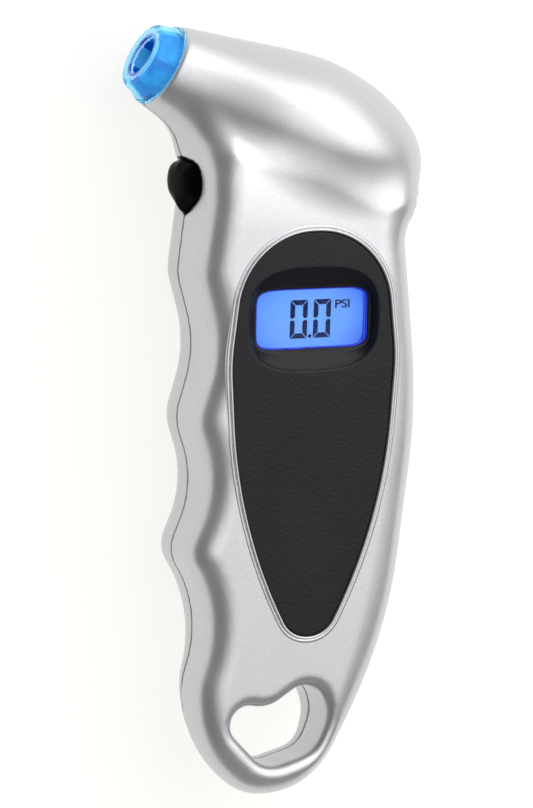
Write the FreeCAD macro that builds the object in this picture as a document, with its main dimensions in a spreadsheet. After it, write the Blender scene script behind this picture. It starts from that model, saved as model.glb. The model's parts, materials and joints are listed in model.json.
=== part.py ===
import FreeCAD, Part
import math
import os

# Digital tire pressure gauge, lying on its back: +Z out of the display, +Y along the
# grip towards the nozzle, origin under the middle of the housing. Millimetres.

DRIVING_SIZES = [
    ("split_height", 12.0),       # parting plane of the two casings
    ("face_height", 26.0),        # front face above the origin
    ("face_tilt", 2.86),          # degrees that the front face rises towards the head
    ("stock_height", 34.0),       # block that the front face is cut from
    ("edge_round", 6.0),          # rounding of the grip's front and rear edges
    ("inner_round", 3.0),         # the same inside
    ("wall", 2.4),                # side wall
    ("floor_wall", 2.2),          # back wall
    ("front_wall", 3.2),          # front wall, which carries the inlay
    ("mouth_radius", 8.8),        # head where the light ring sits on it
    ("cone_radius", 13.8),        # head where its cone ends
    ("cone_length", 20.0),
    ("head_radius", 16.2),        # head where it is widest
    ("head_length", 60.0),        # from the mouth plane to the back of the head
    ("head_overrun", 4.0),        # cone stock in front of the mouth plane
    ("web_height", 12.0),         # web between neck and nozzle
    ("ring_length", 5.0),         # light ring outside the casing
    ("skirt_bore", 7.0),          # casing's bore round the ring's skirt
    ("core_bore", 5.1),           # casing's bore round the chuck core
    ("valve_bore", 4.2),          # mouth that takes a tire valve's stem
    ("bead_width", 1.0),
    ("bead_height", 0.45),
    ("inlay_depth", 1.5),
    ("inlay_gap", 0.15),
    ("tub_wall", 1.2),
    ("tub_depth", 3.4),
    ("well_depth", 2.2),
    ("well_length", 29.2),
    ("well_width", 20.9),
    ("glass_length", 24.4),
    ("glass_width", 12.2),
    ("display_x", 3.4),
    ("display_y", 19.6),
    ("board_top", 11.2),          # board's upper face below the front face
    ("board_thick", 1.6),
    ("post_radius", 3.0),
    ("head_sink", 6.0),           # depth of the screw heads in the back
    ("sink_radius", 2.2),
    ("screw_hole", 1.15),
    ("cell_radius", 5.8),
    ("cell_height", 5.4),
    ("cell_x", 2.0),
    ("cell_z", 8.7),
    ("door_thick", 1.2),
    ("door_gap", 0.3),
    ("slide_gap", 0.3),
    ("switch_x", -11.0),
    ("button_y", 46.2),
]

# Corners of closed outlines as (x, y, corner radius), counter-clockwise.
GRIP_OUTLINE = [
    (-18.7, 57.0, 7.0), (-18.3, 43.9, 25.0), (-20.5, 28.7, 11.5), (-16.5, 13.9, 24.1),
    (-21.1, -0.7, 9.9), (-16.8, -14.4, 21.1), (-22.8, -27.9, 7.1), (-15.0, -41.0, 24.1),
    (-20.2, -55.8, 17.6), (-18.5, -70.1, 23.5), (-8.4, -78.8, 11.2), (6.4, -79.4, 18.4),
    (24.1, -51.7, 93.3), (30.1, 0.5, 119.0), (25.6, 35.9, 8.8), (28.0, 45.0, 7.5),
]
HANG_HOLE = [
    (-20.4, -56.5, 3.8), (-4.7, -73.3, 6.6), (6.5, -70.3, 6.2),
    (9.8, -62.1, 8.1), (5.2, -54.2, 4.7), (-4.5, -60.5, 7.5),
]
INLAY_HALF = [(3.8, -45.5, 6.0), (15.8, -22.1, 103.2), (18.0, 11.5, 40.1), (15.0, 38.0, 16.5)]
WEB_OUTLINE = [(-27.9, 63.0, 0.5), (-21.5, 57.6, 12.0), (-18.6, 51.0, 8.0),
               (-17.6, 45.0, 0.5), (-10.0, 55.0, 2.0), (-20.0, 66.0, 2.0)]
BUTTON_OUTLINE = [(-6.1, 0.0, 0.7), (-0.6, -8.6, 4.0), (4.9, -6.6, 3.0),
                  (6.1, 0.0, 1.5), (4.9, 6.6, 3.0), (-0.6, 8.6, 4.0)]
CASING_SCREWS = [(-14.5, 28.5), (21.2, 24.0), (-15.5, -26.0),
                 (18.5, -26.0), (19.5, 53.5), (2.0, -49.5)]
BOARD_SCREWS = [(-8.2, 3.0), (14.8, 3.0), (14.8, 40.5)]
BATTERY_DOOR = (-6.8, -29.4, 17.6, 28.2)      # x, y, length and width
DOOR_SCREW = (2.0, -3.6)

X_AXIS = FreeCAD.Vector(1, 0, 0)
Y_AXIS = FreeCAD.Vector(0, 1, 0)
Z_AXIS = FreeCAD.Vector(0, 0, 1)

document = FreeCAD.newDocument("tire_pressure_gauge")
sheet = document.addObject("Spreadsheet::Sheet", "Sizes")
for row, (alias, value) in enumerate(DRIVING_SIZES, start=1):
    sheet.set("A%d" % row, alias)
    sheet.set("B%d" % row, str(value))
    sheet.setAlias("B%d" % row, alias)
document.recompute()


def size(alias):
    return float(sheet.get(alias))


SPLIT = size("split_height")
FACE_FRAME = FreeCAD.Placement(FreeCAD.Vector(0, 0, size("face_height")),
                               FreeCAD.Rotation(X_AXIS, size("face_tilt")))
# The nozzle's own frame starts in the middle of its mouth, with Z into the head.
NOZZLE_MOUTH = FreeCAD.Vector(-28.2, 72.9, SPLIT)
NOZZLE_ANGLE = -29.0
HEAD_ANGLE = -23.7


def frame_along(origin, angle):
    """Frame whose Z points along a direction in the parting plane and whose X points up."""
    heading = math.radians(angle)
    along = FreeCAD.Vector(math.cos(heading), math.sin(heading), 0)
    return FreeCAD.Placement(origin, FreeCAD.Rotation(Z_AXIS, Z_AXIS.cross(along), along, "ZXY"))


NOZZLE_FRAME = frame_along(NOZZLE_MOUTH, NOZZLE_ANGLE)
HEAD_BASE = NOZZLE_FRAME.multVec(FreeCAD.Vector(0, 0, size("ring_length")))
HEAD_FRAME = frame_along(HEAD_BASE, HEAD_ANGLE)


def face_at(y):
    """Height of the front face at a place along the grip."""
    return size("face_height") + math.tan(math.radians(size("face_tilt"))) * y


def shift(x, y, z):
    return FreeCAD.Placement(FreeCAD.Vector(x, y, z), FreeCAD.Rotation())


def inset(corners, distance):
    """The outline moved inwards by a distance, with its corner radii to match."""
    moved = []
    count = len(corners)
    for index, (x, y, radius) in enumerate(corners):
        here = FreeCAD.Vector(x, y, 0)
        before = FreeCAD.Vector(*corners[index - 1][:2], 0)
        after = FreeCAD.Vector(*corners[(index + 1) % count][:2], 0)
        arriving = (here - before).normalize()
        leaving = (after - here).normalize()
        turn = arriving.cross(leaving).z
        inward = (Z_AXIS.cross(arriving) + Z_AXIS.cross(leaving)).normalize()
        reach = distance / inward.dot(Z_AXIS.cross(arriving))
        place = here + inward * reach
        change = -distance if turn > 0 else distance
        moved.append((place.x, place.y, max(radius + change, 0.2)))
    return moved


def outline_edges(corners):
    """Straight runs joined by tangent arcs."""
    starts = []
    arcs = []
    ends = []
    count = len(corners)
    for index, (x, y, radius) in enumerate(corners):
        here = FreeCAD.Vector(x, y, 0)
        before = (FreeCAD.Vector(*corners[index - 1][:2], 0) - here).normalize()
        after = (FreeCAD.Vector(*corners[(index + 1) % count][:2], 0) - here).normalize()
        half_angle = before.getAngle(after) / 2
        reach = radius / math.tan(half_angle)
        middle_way = (before + after).normalize()
        centre = here + middle_way * (radius / math.sin(half_angle))
        start = here + before * reach
        end = here + after * reach
        arcs.append(Part.Arc(start, centre - middle_way * radius, end))
        starts.append(start)
        ends.append(end)
    edges = []
    for index in range(count):
        edges.append(arcs[index])
        edges.append(Part.LineSegment(ends[index], starts[(index + 1) % count]))
    return edges


def bind(item, formulas):
    for target, formula in formulas.items():
        item.setExpression(target, str(formula))
    return item


def outline_sketch(name, corners):
    sketch = document.addObject("Sketcher::SketchObject", name)
    sketch.addGeometry(outline_edges(corners), False)
    return sketch


def prism(name, corners, height, placement=None):
    """Solid of an outline; the height is a formula."""
    sketch = outline_sketch(name + "_outline", corners)
    if placement is not None:
        sketch.Placement = placement
    solid = document.addObject("Part::Extrusion", name)
    solid.Base = sketch
    solid.DirMode = "Normal"
    solid.Solid = True
    return bind(solid, {"LengthFwd": height})


def box(name, length, width, height, placement=None):
    solid = document.addObject("Part::Box", name)
    bind(solid, {"Length": str(length), "Width": str(width), "Height": str(height)})
    if placement is not None:
        solid.Placement = placement
    return solid


def cylinder(name, radius, height, placement=None):
    solid = document.addObject("Part::Cylinder", name)
    bind(solid, {"Radius": str(radius), "Height": str(height)})
    if placement is not None:
        solid.Placement = placement
    return solid


def fuse(name, solids):
    if len(solids) == 1:
        return solids[0]
    result = document.addObject("Part::MultiFuse", name)
    result.Shapes = solids
    return result


def cut(name, base, tools):
    result = document.addObject("Part::Cut", name)
    result.Base = base
    result.Tool = fuse(name + "_tools", tools)
    return result


def common(name, first, second):
    result = document.addObject("Part::Common", name)
    result.Base = first
    result.Tool = second
    return result


def rename(item, label):
    item.Label = label
    return item


def face_place(x, y, depth):
    """Place on the front face's frame, at a depth below the face."""
    return FACE_FRAME * shift(x, y, -depth)


def nozzle_place(along, up=0.0):
    return NOZZLE_FRAME * shift(up, 0, along)


def new_body(name):
    return document.addObject("PartDesign::Body", name)


def origin_plane(body, role):
    return [feature for feature in body.Origin.OriginFeatures if feature.Role == role][0]


def body_sketch(body, name, role, edges, offset=0.0):
    sketch = body.newObject("Sketcher::SketchObject", name)
    sketch.AttachmentSupport = (origin_plane(body, role), [""])
    sketch.MapMode = "FlatFace"
    sketch.AttachmentOffset = shift(0, 0, offset)
    sketch.addGeometry(edges, False)
    document.recompute()
    return sketch


def closed_runs(points):
    vectors = [FreeCAD.Vector(x, y, 0) for x, y in points]
    return [Part.LineSegment(a, b) for a, b in zip(vectors, vectors[1:] + vectors[:1])]


def turned_body(name, edges, placement):
    """Body turned about its own Z from a profile drawn as radius and height."""
    body = new_body(name)
    sketch = body_sketch(body, name + "_profile", "XZ_Plane", edges)
    turned = body.newObject("PartDesign::Revolution", name + "_turned")
    turned.Profile = sketch
    turned.ReferenceAxis = (sketch, ["V_Axis"])
    turned.Angle = 360
    body.Placement = placement
    document.recompute()
    return body


# ---------------------------------------------------------------- housing, outside

def rounded_grip(name, corners, low, face_depth, rounding):
    """Grip block with its front face cut to the tilt and its front and rear edges rounded."""
    body = new_body(name)
    sketch = body_sketch(body, name + "_outline", "XY_Plane", outline_edges(corners), low)
    pad = body.newObject("PartDesign::Pad", name + "_pad")
    pad.Profile = sketch
    bind(pad, {"Length": "Sizes.stock_height"})
    reach = 120.0
    top = size("stock_height") + 10
    side = closed_runs([(-reach, face_at(-reach) - face_depth), (reach, face_at(reach) - face_depth),
                        (reach, top), (-reach, top)])
    slope = body_sketch(body, name + "_face", "YZ_Plane", side)
    pocket = body.newObject("PartDesign::Pocket", name + "_face_cut")
    pocket.Profile = slope
    pocket.Type = "ThroughAll"
    pocket.Midplane = True
    document.recompute()
    rims = []
    for index, edge in enumerate(pocket.Shape.Edges, start=1):
        middle = edge.valueAt((edge.FirstParameter + edge.LastParameter) / 2)
        on_back = abs(middle.z - low) < 0.01
        on_face = abs(middle.z - face_at(middle.y) + face_depth) < 0.01
        if on_back or on_face:
            rims.append("Edge%d" % index)
    fillet = body.newObject("PartDesign::Fillet", name + "_rims")
    fillet.Base = (pocket, rims)
    bind(fillet, {"Radius": rounding})
    document.recompute()
    return body


def head_shape(name, thinner):
    """Round head turned about its own axis: a cone from the mouth, a swelling, and a rounded back."""
    cone_end = FreeCAD.Vector(size("cone_radius") - thinner, size("cone_length"), 0)
    swell_middle = FreeCAD.Vector(size("cone_radius") + 1.6 - thinner, size("cone_length") + 8, 0)
    widest = FreeCAD.Vector(size("head_radius") - thinner, size("cone_length") + 16, 0)
    fall_middle = FreeCAD.Vector(size("head_radius") - 1.4 - thinner, size("cone_length") + 26, 0)
    shoulder = FreeCAD.Vector(size("head_radius") - 5.1 - thinner, size("cone_length") + 34, 0)
    tip = size("head_length") - thinner
    centre = (tip ** 2 - shoulder.y ** 2 - shoulder.x ** 2) / (2 * (tip - shoulder.y))
    cap_radius = tip - centre
    cap_angle = math.atan2(shoulder.x, shoulder.y - centre) / 2
    cap_middle = FreeCAD.Vector(cap_radius * math.sin(cap_angle),
                                centre + cap_radius * math.cos(cap_angle), 0)
    start = -size("head_overrun")
    growth = (size("cone_radius") - size("mouth_radius")) / size("cone_length")
    front = FreeCAD.Vector(size("mouth_radius") - thinner + growth * start, start, 0)
    on_axis = FreeCAD.Vector(0, start, 0)
    back = FreeCAD.Vector(0, tip, 0)
    edges = [Part.LineSegment(on_axis, front), Part.LineSegment(front, cone_end),
             Part.Arc(cone_end, swell_middle, widest), Part.Arc(widest, fall_middle, shoulder),
             Part.Arc(shoulder, cap_middle, back), Part.LineSegment(back, on_axis)]
    return turned_body(name, edges, HEAD_FRAME)


REACH = 200.0
below_floor = box("below_floor", REACH, REACH, 40, shift(-REACH / 2, -REACH / 2, -40))
slope_angle = 8.2
slope_start = -31.0
slope_frame = FreeCAD.Placement(FreeCAD.Vector(-REACH / 2, slope_start, 0),
                                FreeCAD.Rotation(X_AXIS, -slope_angle))
below_slope = box("below_slope", REACH, 80, 40, slope_frame * shift(0, -80, -40))
past_mouth = box("past_mouth", 60, 60, 30, NOZZLE_FRAME * shift(-30, -30, size("ring_length") - 30))

grip_solid = rounded_grip("grip_block", GRIP_OUTLINE, 0.0, 0.0, "Sizes.edge_round")
web = prism("web", WEB_OUTLINE, "Sizes.web_height", shift(0, 0, SPLIT - size("web_height") / 2))
outside_stock = fuse("outside_stock", [grip_solid, web, head_shape("head", 0.0)])
outside = cut("outside", outside_stock, [below_floor, below_slope, past_mouth])
inlay_right = [(size("display_x") + x, y, radius) for x, y, radius in INLAY_HALF]
inlay_left = [(size("display_x") - x, y, radius) for x, y, radius in reversed(INLAY_HALF)]
inlay_corners = inlay_right + inlay_left
bead_edge = inset(inlay_corners, -size("bead_width"))
bead = prism("bead", bead_edge, "Sizes.bead_height + 1", face_place(0, 0, 1.0))
hole_prism = prism("hole_prism", HANG_HOLE, "60", shift(0, 0, -10))
outer_form = cut("outer_form", fuse("outside_with_bead", [outside, bead]), [hole_prism])

# ---------------------------------------------------------------- housing, inside

inner_low = size("floor_wall")
grip_hollow = rounded_grip("grip_hollow", inset(GRIP_OUTLINE, size("wall")), inner_low,
                           size("front_wall"), "Sizes.inner_round")
under_inner_floor = box("under_inner_floor", REACH, REACH, 40,
                        shift(-REACH / 2, -REACH / 2, inner_low - 40))
under_inner_slope = box("under_inner_slope", REACH, 80, 40,
                        shift(0, 0, inner_low) * slope_frame * shift(0, -80, -40))
cradle_end = 12.2
before_cradle = box("before_cradle", 60, 60, 40, NOZZLE_FRAME * shift(-30, -30, cradle_end - 40))
hole_wall = prism("hole_wall", inset(HANG_HOLE, -size("wall")), "60", shift(0, 0, -10))
posts = [cylinder("post_%d" % index, "Sizes.post_radius", 40, shift(x, y, 0))
         for index, (x, y) in enumerate(CASING_SCREWS, start=1)]
board_post_length = size("board_top") - 0.1
board_posts = [cylinder("board_post_%d" % index, 2.0, board_post_length, face_place(x, y, board_post_length))
               for index, (x, y) in enumerate(BOARD_SCREWS, start=1)]

cell_length = 3 * size("cell_height")
cell_low = -24.4
bay_low = cell_low - 3.2
bay_length = cell_length + 5.0
bay_wall = 1.4
bay_width = 2 * size("cell_radius") + 0.8
bay_block = box("bay_block", bay_width + 2 * bay_wall, bay_length + 2 * bay_wall, SPLIT - 1.2,
                shift(size("cell_x") - bay_width / 2 - bay_wall, bay_low - bay_wall, 0))
door_post = cylinder("door_post", 2.6, 9.5, shift(*DOOR_SCREW, 0))

hollow_sum = fuse("hollow_sum", [grip_hollow, head_shape("hollow_head", size("wall"))])
hollow_stock = cut("hollow_stock", hollow_sum, [under_inner_floor, under_inner_slope, before_cradle])
hollow = cut("hollow", hollow_stock, posts + board_posts + [hole_wall, bay_block, door_post])

# ---------------------------------------------------------------- casing openings

mouth_openings = [
    cylinder("skirt_opening", "Sizes.skirt_bore", 5.1, nozzle_place(size("ring_length"))),
    cylinder("core_opening", "Sizes.core_bore", 4, nozzle_place(10)),
]
button_frame = FreeCAD.Placement(FreeCAD.Vector(-26, size("button_y"), SPLIT),
                                 FreeCAD.Rotation(Y_AXIS, Z_AXIS, X_AXIS, "ZXY"))
button_opening = prism("button_opening", inset(BUTTON_OUTLINE, -size("slide_gap")), "14", button_frame)
flange_room = prism("flange_room", inset(BUTTON_OUTLINE, -1.5), "3.6", button_frame * shift(0, 0, 10.0))
screw_shafts = []
screw_sinks = []
for index, (x, y) in enumerate(CASING_SCREWS, start=1):
    screw_shafts.append(cylinder("shaft_hole_%d" % index, "Sizes.screw_hole", 16.8, shift(x, y, 2)))
    screw_sinks.append(cylinder("head_sink_%d" % index, "Sizes.sink_radius", "Sizes.head_sink + 2",
                                shift(x, y, -2)))
inlay_pocket = prism("inlay_pocket", inlay_corners, 8, face_place(0, 0, size("inlay_depth")))


def well_corners(extra, radius):
    half_length = size("well_length") / 2 + extra
    half_width = size("well_width") / 2 + extra
    x, y = size("display_x"), size("display_y")
    return [(x - half_length, y - half_width, radius), (x + half_length, y - half_width, radius),
            (x + half_length, y + half_width, radius), (x - half_length, y + half_width, radius)]


tub_opening = prism("tub_opening", well_corners(size("tub_wall") + 0.2, 7.4), 12, face_place(0, 0, 10))
board_pilots = [cylinder("board_pilot_%d" % index, 0.85, 6, face_place(x, y, size("board_top")))
                for index, (x, y) in enumerate(BOARD_SCREWS, start=1)]
door_x, door_y, door_length, door_width = BATTERY_DOOR


def door_corners(extra):
    low_x, high_x = door_x - extra, door_x + door_length + extra
    low_y, high_y = door_y - extra, door_y + door_width + extra
    return [(low_x, low_y, 2.5 + extra), (high_x, low_y, 2.5 + extra),
            (high_x, high_y, 2.5 + extra), (low_x, high_y, 2.5 + extra)]


door_pocket = prism("door_pocket", door_corners(size("door_gap")), "Sizes.door_thick + Sizes.door_gap + 5",
                    shift(0, 0, -5))
bay_opening = box("bay_opening", bay_width, bay_length, 40,
                  shift(size("cell_x") - bay_width / 2, bay_low, -5))
door_boss_pocket = cylinder("door_boss_pocket", 3.2, 7.7, shift(*DOOR_SCREW, -5))
door_screw_hole = cylinder("door_screw_hole", 1.1, 12, shift(*DOOR_SCREW, -3.4))
window_x, window_y = size("display_x"), size("display_y")

shell = cut("shell", outer_form, [hollow] + mouth_openings + [button_opening, flange_room] + screw_shafts)
front_half_space = box("front_half_space", REACH, REACH, 60, shift(-REACH / 2, -REACH / 2, SPLIT))
front_stock = common("front_stock", shell, front_half_space)
front_cuts = [inlay_pocket, tub_opening] + board_pilots
rename(cut("front_casing", front_stock, front_cuts), "front_casing")
rear_stock = cut("rear_stock", shell, [front_half_space])
rear_cuts = screw_sinks + [door_pocket, bay_opening, door_boss_pocket, door_screw_hole]
rename(cut("rear_casing", rear_stock, rear_cuts), "rear_casing")

# ---------------------------------------------------------------- display stack

inlay_plate = prism("inlay_plate", inset(inlay_corners, size("inlay_gap")), "Sizes.inlay_depth - 0.1",
                    face_place(0, 0, size("inlay_depth") - 0.05))
tub = prism("tub", well_corners(size("tub_wall"), 7.2), "Sizes.tub_depth - 0.2",
            face_place(0, 0, size("tub_depth")))
well = prism("well", well_corners(0, 6.0), 8, face_place(0, 0, size("well_depth")))


def centred_corners(length, width, radius):
    x, y = window_x, window_y
    return [(x - length / 2, y - width / 2, radius), (x + length / 2, y - width / 2, radius),
            (x + length / 2, y + width / 2, radius), (x - length / 2, y + width / 2, radius)]


window_opening = prism("window_opening", centred_corners(size("glass_length"), size("glass_width"), 2.6),
                       12, face_place(0, 0, 8))
inlay_sum = fuse("inlay_sum", [inlay_plate, tub])
rename(cut("inlay_panel", inlay_sum, [well, window_opening]), "inlay_panel")
rename(prism("display_window", centred_corners(27.6, 15.4, 1.5), "1.0", face_place(0, 0, 4.5)),
       "display_window")


def display_box(name, length, width, height, bottom):
    """Box centred on the window, with its bottom at a depth below the front face."""
    corner = face_place(window_x - length / 2, window_y - width / 2, bottom)
    return rename(box(name, length, width, height, corner), name)


display_box("lcd_glass", 28.0, 17.2, 1.6, 6.2)
display_box("lcd_backlight", 27.0, 12.4, 3.4, 9.7)
for name, offset in (("zebra_strip_upper", 6.4), ("zebra_strip_lower", -8.4)):
    rename(box(name, 25.0, 2.0, 4.8, face_place(window_x - 12.5, window_y + offset, 11.1)), name)
frame_outer = display_box("frame_outer", 29.4, 18.9, 6.4, 11.1)
frame_inner = display_box("frame_inner", 28.3, 17.5, 12, 14)
rename(cut("lcd_frame", frame_outer, [frame_inner]), "lcd_frame")

# ---------------------------------------------------------------- board and what is on it

board = new_body("main_board")
board_corners = [(-11.0, -5.6, 1.0), (17.6, -5.6, 1.0), (17.6, 46.5, 2.0),
                 (14.0, 50.4, 2.0), (-11.0, 50.4, 1.0)]
board_sketch = body_sketch(board, "board_outline", "XY_Plane", outline_edges(board_corners))
board_pad = board.newObject("PartDesign::Pad", "board_pad")
board_pad.Profile = board_sketch
bind(board_pad, {"Length": "Sizes.board_thick"})
document.recompute()
hole_circles = [Part.Circle(FreeCAD.Vector(x, y, 0), Z_AXIS, 1.2) for x, y in BOARD_SCREWS]
board_holes = body_sketch(board, "board_holes", "XY_Plane", hole_circles)
board_pocket = board.newObject("PartDesign::Pocket", "board_drill")
board_pocket.Profile = board_holes
board_pocket.Type = "ThroughAll"
board_pocket.Midplane = True
board_bottom = size("board_top") + size("board_thick")
board.Placement = face_place(0, 0, board_bottom)

rename(box("controller_chip", 9.0, 9.0, 1.4, face_place(-1.5, 20.0, board_bottom + 1.5)), "controller_chip")
COMPONENTS = [(-6.0, 12.0), (-6.0, 16.0), (-6.0, 20.0), (10.5, 12.0), (10.5, 15.5), (10.5, 19.0), (2.0, 33.0),
              (6.0, 33.0), (-7.0, 30.0)]
components = document.addObject("Part::Compound", "board_components")
components.Links = [box("component_%d" % index, 2.0, 1.25, 0.9, face_place(x, y, board_bottom + 1.0))
                    for index, (x, y) in enumerate(COMPONENTS, start=1)]


def screw_profile(head_radius, head_height, shank_radius, shank_length):
    """Head below zero, shank above, pointed end, with a dished top for the driver."""
    tip = shank_radius * 0.8
    dish = head_radius * 0.45
    return [(0, -head_height * 0.45), (dish, -head_height * 0.45), (dish, -head_height),
            (head_radius * 0.8, -head_height), (head_radius, -head_height * 0.6), (head_radius, 0),
            (shank_radius, 0), (shank_radius, shank_length - tip), (0, shank_length)]


def screw_group(name, places, profile):
    group = document.addObject("Part::Compound", name)
    group.Links = [turned_body("%s_%d" % (name, index), closed_runs(profile), place)
                   for index, place in enumerate(places, start=1)]
    return group


screw_group("board_screws", [face_place(x, y, board_bottom + 0.05) for x, y in BOARD_SCREWS],
            screw_profile(1.9, 1.2, 0.8, 5.6))
screw_group("casing_screws", [shift(x, y, size("head_sink") - 0.05) for x, y in CASING_SCREWS],
            screw_profile(2.0, 1.5, 1.0, 12.0))

# ---------------------------------------------------------------- nozzle and chuck

ring_length = size("ring_length")
bore_end = 6.4          # where the valve bore widens into the gasket's seat
turned_body("nozzle_light_ring", closed_runs(
    [(5.4, 0.3), (5.8, 0.0), (6.3, 0.0), (6.8, 0.6), (7.9, ring_length - 1.1), (8.7, ring_length - 0.9),
     (8.7, ring_length - 0.02), (6.9, ring_length - 0.02), (6.9, 8.5), (5.4, 8.5)]), NOZZLE_FRAME)
valve_bore = size("valve_bore")
core_turned = turned_body("chuck_core_turned", closed_runs(
    [(valve_bore, 0.4), (5.2, 0.4), (5.2, 8.7), (6.8, 8.7), (6.8, 9.9), (5.0, 9.9), (5.0, 13.4), (2.5, 13.4),
     (2.0, 14.2), (2.0, 17.0), (2.3, 17.0), (1.9, 20.0), (0.9, 20.0), (0.9, 9.9), (2.4, 9.9), (2.4, 9.0),
     (4.6, 9.0), (4.6, bore_end), (valve_bore, bore_end)]), NOZZLE_FRAME)
rename(core_turned, "chuck_core")
turned_body("valve_gasket", closed_runs([(1.7, 6.6), (4.5, 6.6), (4.5, 8.9), (1.7, 8.9)]), NOZZLE_FRAME)
pin_turned = turned_body("pin_turned", closed_runs(
    [(0, 6.6), (0.5, 6.6), (0.7, 6.8), (0.7, 9.1), (2.3, 9.1), (2.3, 9.8), (0, 9.8)]), NOZZLE_FRAME)
pin_flats = [box("pin_flat_%d" % index, 5, 2, 3, NOZZLE_FRAME * shift(-2.5, start, 8.5))
             for index, start in enumerate((1.1, -3.1), start=1)]
rename(cut("depressor_pin", pin_turned, pin_flats), "depressor_pin")

# ---------------------------------------------------------------- pressure path


def bent_path(points, radii):
    """Straight runs joined by tangent arcs, through points in space."""
    edges = []
    start = points[0]
    for before, here, after, radius in zip(points, points[1:], points[2:], radii):
        back = (before - here).normalize()
        ahead = (after - here).normalize()
        half_angle = back.getAngle(ahead) / 2
        reach = radius / math.tan(half_angle)
        middle_way = (back + ahead).normalize()
        middle = here + middle_way * (radius / math.sin(half_angle) - radius)
        edges.append(Part.LineSegment(start, here + back * reach).toShape())
        edges.append(Part.Arc(here + back * reach, middle, here + ahead * reach).toShape())
        start = here + ahead * reach
    edges.append(Part.LineSegment(start, points[-1]).toShape())
    return Part.Wire(edges)


def swept_rod(path, points, radius):
    heading = points[1] - points[0]
    section = Part.Wire([Part.Circle(points[0], heading, radius).toShape()])
    return path.makePipeShell([section], True, False)


def hose(name, points, radii, radius, bore=0.0):
    path = bent_path(points, radii)
    shape = swept_rod(path, points, radius)
    if bore:
        shape = shape.cut(swept_rod(path, points, bore))
    feature = document.addObject("Part::Feature", name)
    feature.Shape = shape
    expected = math.pi * (radius ** 2 - bore ** 2) * path.Length
    print(name, "length", round(path.Length, 1), "volume ratio", round(shape.Volume / expected, 3))
    return feature


HOSE_START = nozzle_place(14.4).Base
SENSOR_X = 5.0
corner_along = (SENSOR_X - NOZZLE_MOUTH.x) / math.cos(math.radians(NOZZLE_ANGLE))
HOSE_CORNER = nozzle_place(corner_along).Base
HOSE_END = FreeCAD.Vector(SENSOR_X, 46.4, SPLIT)
hose("sensor_hose", [HOSE_START, HOSE_CORNER, HOSE_END], [7.0], 3.1, 2.05 + 0.3)

sensor_top = face_at(42) - board_bottom - 0.3
sensor_block = box("sensor_block", 10, 9, sensor_top - 8.6, shift(SENSOR_X - 5, 36.5, 8.6))
spigot_frame = FreeCAD.Placement(FreeCAD.Vector(SENSOR_X, 45.2, SPLIT), FreeCAD.Rotation(X_AXIS, -90))
sensor_spigot = cylinder("sensor_spigot", 1.95, 6.4, spigot_frame)
rename(fuse("pressure_sensor", [sensor_block, sensor_spigot]), "pressure_sensor")


def hose_clamp(name, placement):
    """Flat spring ring with two ears."""
    band = cylinder(name + "_band", 3.5, 1.8, placement)
    bore = cylinder(name + "_bore", 3.2, 3, placement * shift(0, 0, -0.5))
    ears = box(name + "_ears", 1.8, 1.6, 1.8, placement * shift(3.3, -0.8, 0))
    return rename(cut(name, fuse(name + "_sum", [band, ears]), [bore]), name)


hose_clamp("hose_clamp_chuck", nozzle_place(16.0))
hose_clamp("hose_clamp_sensor", FreeCAD.Placement(FreeCAD.Vector(SENSOR_X, 47.2, SPLIT),
                                                  FreeCAD.Rotation(-Z_AXIS, -X_AXIS, Y_AXIS, "ZXY")))

# ---------------------------------------------------------------- nozzle light

led_up = 6.6
led_lens = cylinder("led_lens", 1.5, 3.4, nozzle_place(12.5, led_up))
led_rim = cylinder("led_rim", 1.75, 0.9, nozzle_place(15.0, led_up))
rename(fuse("nozzle_led", [led_lens, led_rim]), "nozzle_led")
for name, side, landing in (("led_lead_red", -0.75, 3.0), ("led_lead_black", 0.75, 0.4)):
    start = (NOZZLE_FRAME * shift(led_up, side, 16.0)).Base
    middle = FreeCAD.Vector(landing - 2.0, 58.5, SPLIT + 5.9)
    lower = FreeCAD.Vector(landing, 52.0, SPLIT + 6.0)
    end = FreeCAD.Vector(landing, 46.5, face_at(46.5) - size("board_top") + 0.7)
    hose(name, [start, middle, lower, end], [4.0, 20.0], 0.5)

# ---------------------------------------------------------------- button and switch

button_y = size("button_y")
button_solid = prism("button_solid", BUTTON_OUTLINE, 10.4, button_frame)
dome = document.addObject("Part::Ellipsoid", "button_dome")
dome.Radius1 = 9.0
dome.Radius2 = 6.9
dome.Radius3 = 8.4
dome.Placement = FreeCAD.Placement(FreeCAD.Vector(-15.5, button_y, SPLIT),
                                   FreeCAD.Rotation(X_AXIS, Y_AXIS, Z_AXIS, "ZXY"))
button_cap = common("button_cap", button_solid, dome)
button_flange = prism("button_flange", inset(BUTTON_OUTLINE, -1.1), 1.0, button_frame * shift(0, 0, 10.4))
button_stem = cylinder("button_stem", 1.8, 1.7, button_frame * shift(0, 0, 11.1))
rename(fuse("power_button", [button_cap, button_flange, button_stem]), "power_button")

switch_x = size("switch_x")
switch_block = box("switch_block", 4.2, 6.0, 6.2, shift(switch_x + 0.2, button_y - 3, SPLIT - 3.1))
switch_frame = FreeCAD.Placement(FreeCAD.Vector(switch_x, button_y, SPLIT), FreeCAD.Rotation(Y_AXIS, 90))
switch_bore = cylinder("switch_bore", 1.8, 3.2, switch_frame * shift(0, 0, -0.5))
rename(cut("switch_body", switch_block, [switch_bore]), "switch_body")
rename(cylinder("switch_plunger", 1.5, 2.6, switch_frame * shift(0, 0, -2.1)), "switch_plunger")

# ---------------------------------------------------------------- batteries and door

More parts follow.
